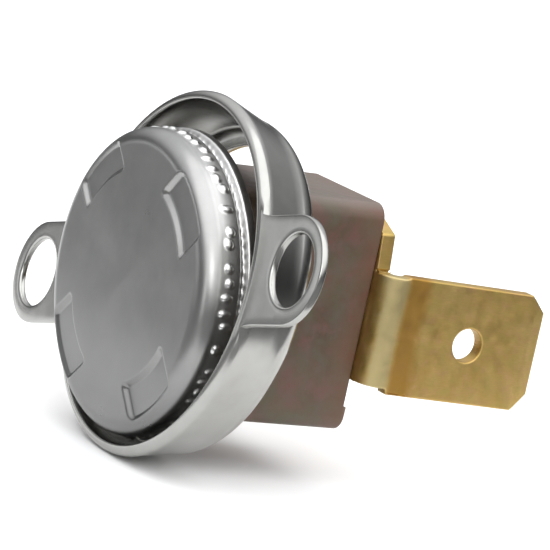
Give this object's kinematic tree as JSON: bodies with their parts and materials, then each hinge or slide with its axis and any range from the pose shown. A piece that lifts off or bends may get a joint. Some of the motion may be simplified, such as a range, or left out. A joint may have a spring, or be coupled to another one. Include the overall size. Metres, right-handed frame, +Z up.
{
  "type": "limit thermostat",
  "caption": "Bimetal snap-disc limit thermostat: round metal sensing cap, loose two-ear mounting bracket, moulded switch case and quick-connect blade terminals.",
  "frame": {"origin": "centre of the flat sensing face", "axes": "+X from the sensing face along the body towards the terminals, +Z up across the case's height, Y across its width with the bent terminal on the -Y side"},
  "size_m": [0.0225, 0.0302, 0.0191],
  "materials": {
    "cap_metal": "satin drawn sheet",
    "bracket_metal": "bright pressed sheet",
    "bimetal": "plain rolled strip",
    "seat_metal": "plain",
    "guide_moulding": "moulded",
    "pin_ceramic": "fired ceramic",
    "case_moulding": "matt phenolic moulding",
    "terminal_brass": "satin rolled brass",
    "strip_brass": "plain rolled brass",
    "spring_copper": "rolled spring copper alloy",
    "contact_silver": "bright",
    "rivet_brass": "turned"
  },
  "bodies": {
    "thermostat": {"sensing_cap": "cap_metal", "bimetal_disc": "bimetal", "disc_seat_ring": "seat_metal", "pin_guide": "guide_moulding", "switch_case": "case_moulding", "fixed_contact_strip": "strip_brass", "fixed_contact": "contact_silver", "arm_support": "strip_brass", "bent_terminal": "terminal_brass", "flat_terminal": "terminal_brass", "strip_rivet": "rivet_brass", "arm_rivet": "rivet_brass"},
    "push_pin": {"push_pin": "pin_ceramic"},
    "contact_arm": {"contact_arm": "spring_copper", "moving_contact": "contact_silver"},
    "mounting_bracket": {"mounting_bracket": "bracket_metal"}
  },
  "joints": [
    {"name": "pin_slide", "type": "slide", "parent": "thermostat", "child": "push_pin", "axis": [1, 0, 0], "range_m": [0, 0.0003], "stiffness_N_per_m": 300, "springref_m": -0.001, "deforming": ["bimetal_disc"]},
    {"name": "arm_flex", "type": "hinge", "parent": "thermostat", "child": "contact_arm", "pos_m": [0.008, 0, -0.00375], "axis": [0, 1, 0], "range_deg": [0, 5]},
    {"name": "bracket_spin", "type": "hinge", "parent": "thermostat", "child": "mounting_bracket", "pos_m": [0.0018, 0, 0.00066], "axis": [0.9892, -0.0397, -0.1409], "continuous": true}
  ],
  "couplings": [
    {"joint": "arm_flex", "follows": "pin_slide", "rad_per_m": 266.67}
  ]
}
